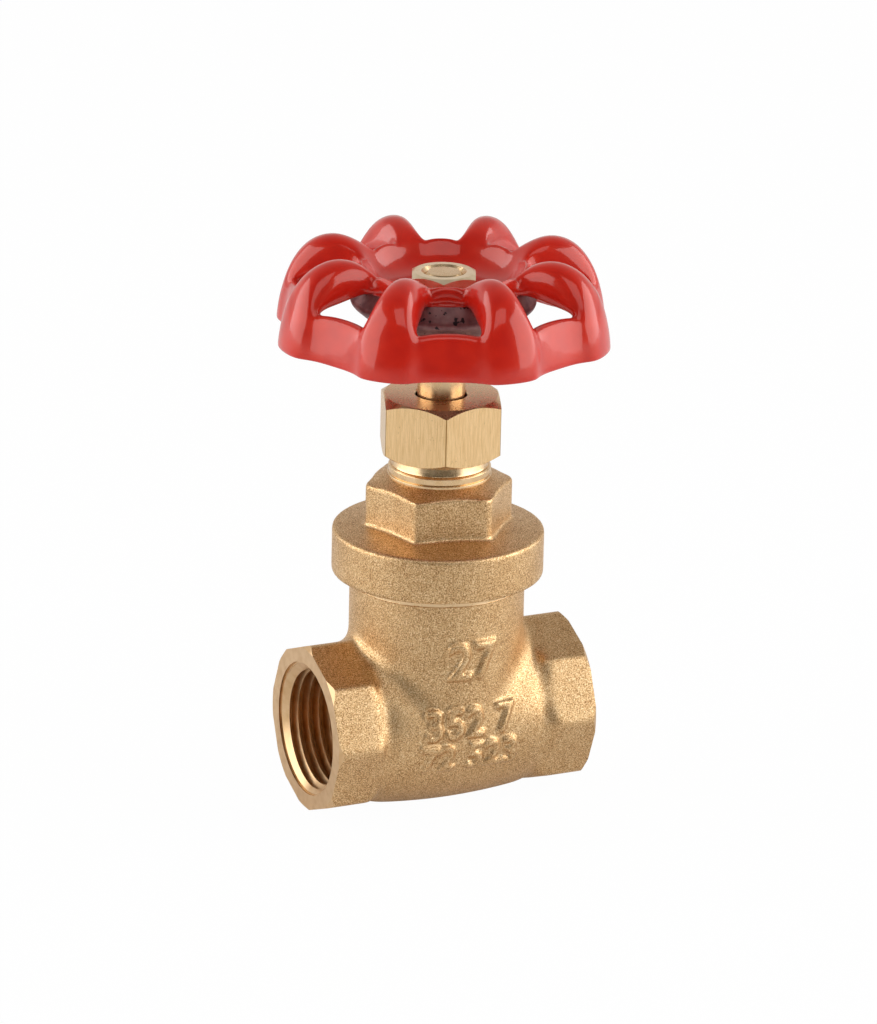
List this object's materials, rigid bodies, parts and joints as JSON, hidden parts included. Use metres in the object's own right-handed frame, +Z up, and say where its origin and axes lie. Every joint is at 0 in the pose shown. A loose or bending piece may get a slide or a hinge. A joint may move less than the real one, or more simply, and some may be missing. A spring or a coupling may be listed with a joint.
{
  "type": "gate valve",
  "caption": "Half-inch brass gate valve with octagon threaded ends, screwed bonnet, packing nut, non-rising stem and a red eight-lobed handwheel.",
  "frame": {"origin": "where the pipe line and the stem axis cross, in the middle of the body", "axes": "+X along the pipe line towards port b, +Z up along the stem to the handwheel, +Y completes a right-handed frame"},
  "size_m": [0.0548, 0.0548, 0.0923],
  "materials": {
    "cast_brass": "shot-blasted casting",
    "machined_brass": "turned, bright",
    "bar_brass": "drawn hexagon bar",
    "red_enamel": "gloss enamel on a casting",
    "packing": "PTFE",
    "gasket": "fibre"
  },
  "bodies": {
    "case": {"valve_body": "cast_brass", "bonnet": "cast_brass", "bonnet_gasket": "gasket", "gland_washer": "machined_brass", "packing_ring_lower": "packing", "packing_ring_middle": "packing", "packing_ring_upper": "packing", "gland_follower": "machined_brass", "packing_nut": "bar_brass"},
    "stem_wheel": {"stem": "machined_brass", "handwheel": "red_enamel", "wheel_nut": "machined_brass"},
    "gate": {"gate_wedge": "machined_brass"}
  },
  "joints": [
    {"name": "stem_turn", "type": "hinge", "parent": "case", "child": "stem_wheel", "pos_m": [0, 0, 0], "axis": [0, 0, 1], "range_deg": [0, 2610]},
    {"name": "gate_lift", "type": "slide", "parent": "case", "child": "gate", "axis": [0, 0, 1], "range_m": [0, 0.0145]}
  ],
  "couplings": [
    {"joint": "gate_lift", "follows": "stem_turn", "m_per_rad": 0.00031831}
  ]
}
